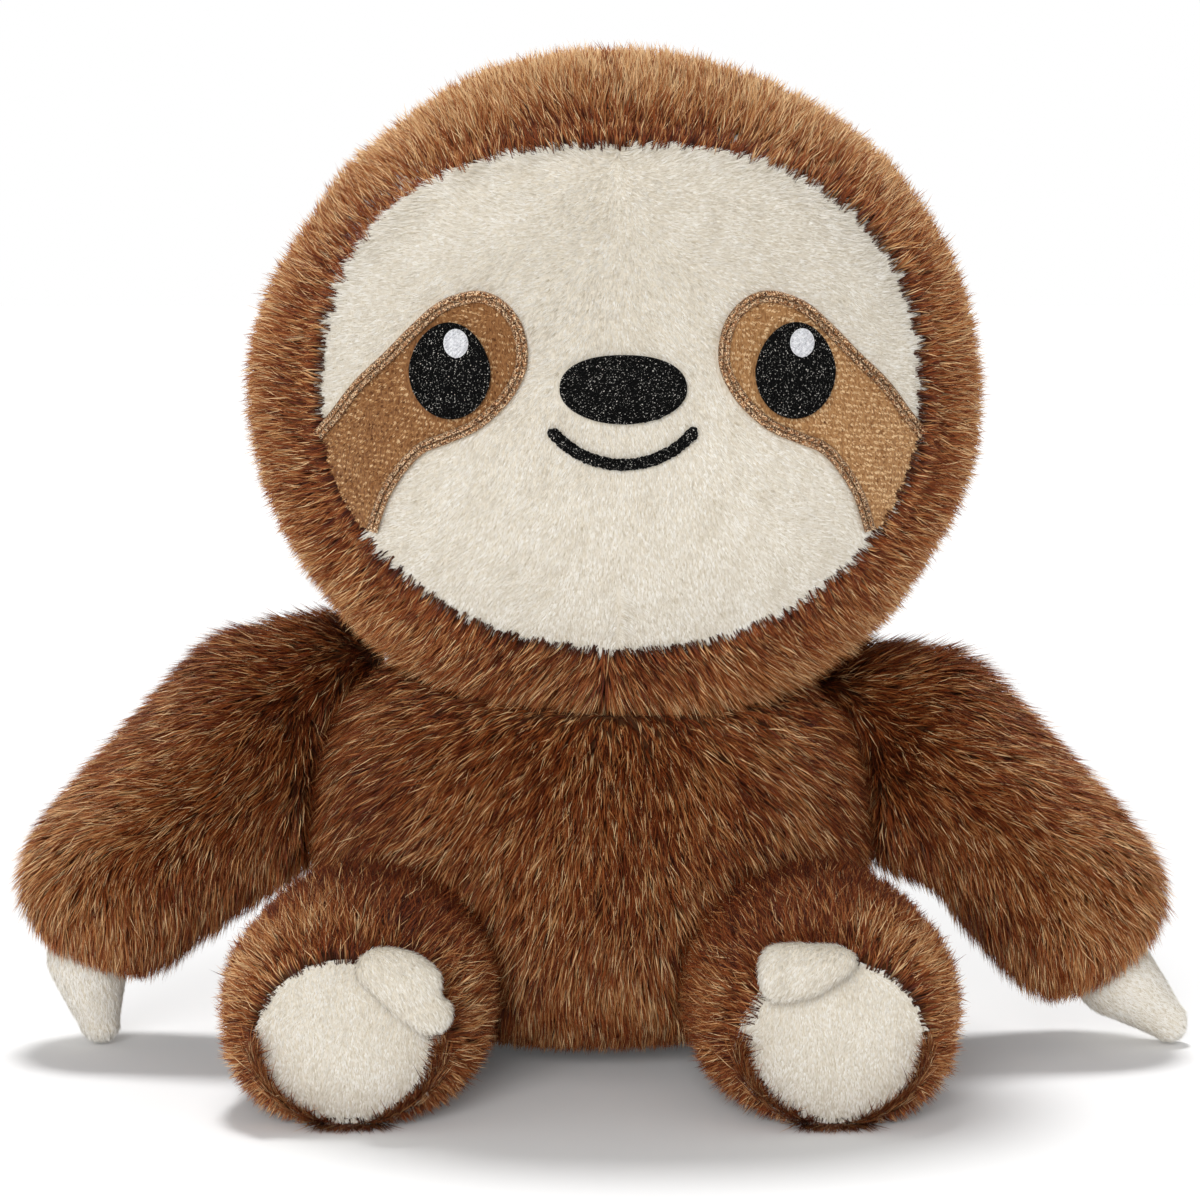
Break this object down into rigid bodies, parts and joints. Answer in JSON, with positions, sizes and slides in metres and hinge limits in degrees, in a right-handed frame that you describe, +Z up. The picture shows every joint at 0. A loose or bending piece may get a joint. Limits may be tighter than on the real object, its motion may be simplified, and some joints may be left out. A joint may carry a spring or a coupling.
{
  "type": "plush sloth",
  "caption": "Soft toy sloth that sits upright, with a round hooded head, arms that hang at its sides, short legs and stuffed claws.",
  "frame": {"origin": "on the flat underside of the body, where the toy sits", "axes": "+Z up, the toy faces -Y, its own left is +X"},
  "size_m": [0.2919, 0.1572, 0.2494],
  "materials": {
    "fur": "matte",
    "cream_plush": "matte",
    "tan_plush": "matte",
    "border_thread": "satin",
    "black_thread": "satin",
    "white_thread": "satin",
    "filling": "matte"
  },
  "bodies": {
    "body": {"body_front_cover": "fur", "body_back_cover": "fur", "body_stuffing": "filling"},
    "head": {"head_cover_left": "fur", "head_cover_right": "fur", "head_stuffing": "filling", "face_panel": "cream_plush", "eye_patch_left": "tan_plush", "patch_border_left": "border_thread", "eye_left": "black_thread", "eye_highlight_left": "white_thread", "eye_patch_right": "tan_plush", "patch_border_right": "border_thread", "eye_right": "black_thread", "eye_highlight_right": "white_thread", "nose": "black_thread", "mouth": "black_thread"},
    "arm_left": {"arm_cover_left": "fur", "arm_stuffing_left": "filling"},
    "claw_left": {"hand_claw_left": "cream_plush"},
    "leg_left": {"leg_cover_left": "fur", "leg_stuffing_left": "filling", "sole_pad_left": "cream_plush"},
    "toe_left": {"toe_claw_left": "cream_plush"},
    "arm_right": {"arm_cover_right": "fur", "arm_stuffing_right": "filling"},
    "claw_right": {"hand_claw_right": "cream_plush"},
    "leg_right": {"leg_cover_right": "fur", "leg_stuffing_right": "filling", "sole_pad_right": "cream_plush"},
    "toe_right": {"toe_claw_right": "cream_plush"}
  },
  "joints": [
    {"name": "neck_turn", "type": "hinge", "parent": "body", "child": "head", "pos_m": [0.0065, -0.008, 0.1], "axis": [0, 0, 1], "range_deg": [-12, 12], "stiffness_Nm_per_rad": 0.5},
    {"name": "shoulder_swing_left", "type": "hinge", "parent": "body", "child": "arm_left", "pos_m": [0.06, 0.019, 0.0858], "axis": [-1, 0, 0], "range_deg": [-20, 40], "stiffness_Nm_per_rad": 0.5},
    {"name": "claw_flex_left", "type": "hinge", "parent": "arm_left", "child": "claw_left", "pos_m": [0.13192, 0.009, 0.01668], "axis": [0, -1, 0], "range_deg": [-25, 5], "stiffness_Nm_per_rad": 0.02},
    {"name": "hip_lift_left", "type": "hinge", "parent": "body", "child": "leg_left", "pos_m": [0.0525, -0.033, 0.027], "axis": [-1, 0, 0], "range_deg": [0, 12], "stiffness_Nm_per_rad": 0.5},
    {"name": "toe_flap_left", "type": "hinge", "parent": "leg_left", "child": "toe_left", "pos_m": [0.0497, -0.091, 0.03804], "axis": [-0.7714, 0, 0.6363], "range_deg": [0, 35], "stiffness_Nm_per_rad": 0.02},
    {"name": "shoulder_swing_right", "type": "hinge", "parent": "body", "child": "arm_right", "pos_m": [-0.06, 0.019, 0.0932], "axis": [-1, 0, 0], "range_deg": [-20, 40], "stiffness_Nm_per_rad": 0.5},
    {"name": "claw_flex_right", "type": "hinge", "parent": "arm_right", "child": "claw_right", "pos_m": [-0.12655, 0.009, 0.02152], "axis": [0, 1, 0], "range_deg": [-3, 25], "stiffness_Nm_per_rad": 0.02},
    {"name": "hip_lift_right", "type": "hinge", "parent": "body", "child": "leg_right", "pos_m": [-0.0525, -0.033, 0.027], "axis": [-1, 0, 0], "range_deg": [0, 12], "stiffness_Nm_per_rad": 0.5},
    {"name": "toe_flap_right", "type": "hinge", "parent": "leg_right", "child": "toe_right", "pos_m": [-0.0497, -0.091, 0.03804], "axis": [-0.7714, 0, -0.6363], "range_deg": [0, 35], "stiffness_Nm_per_rad": 0.02}
  ]
}
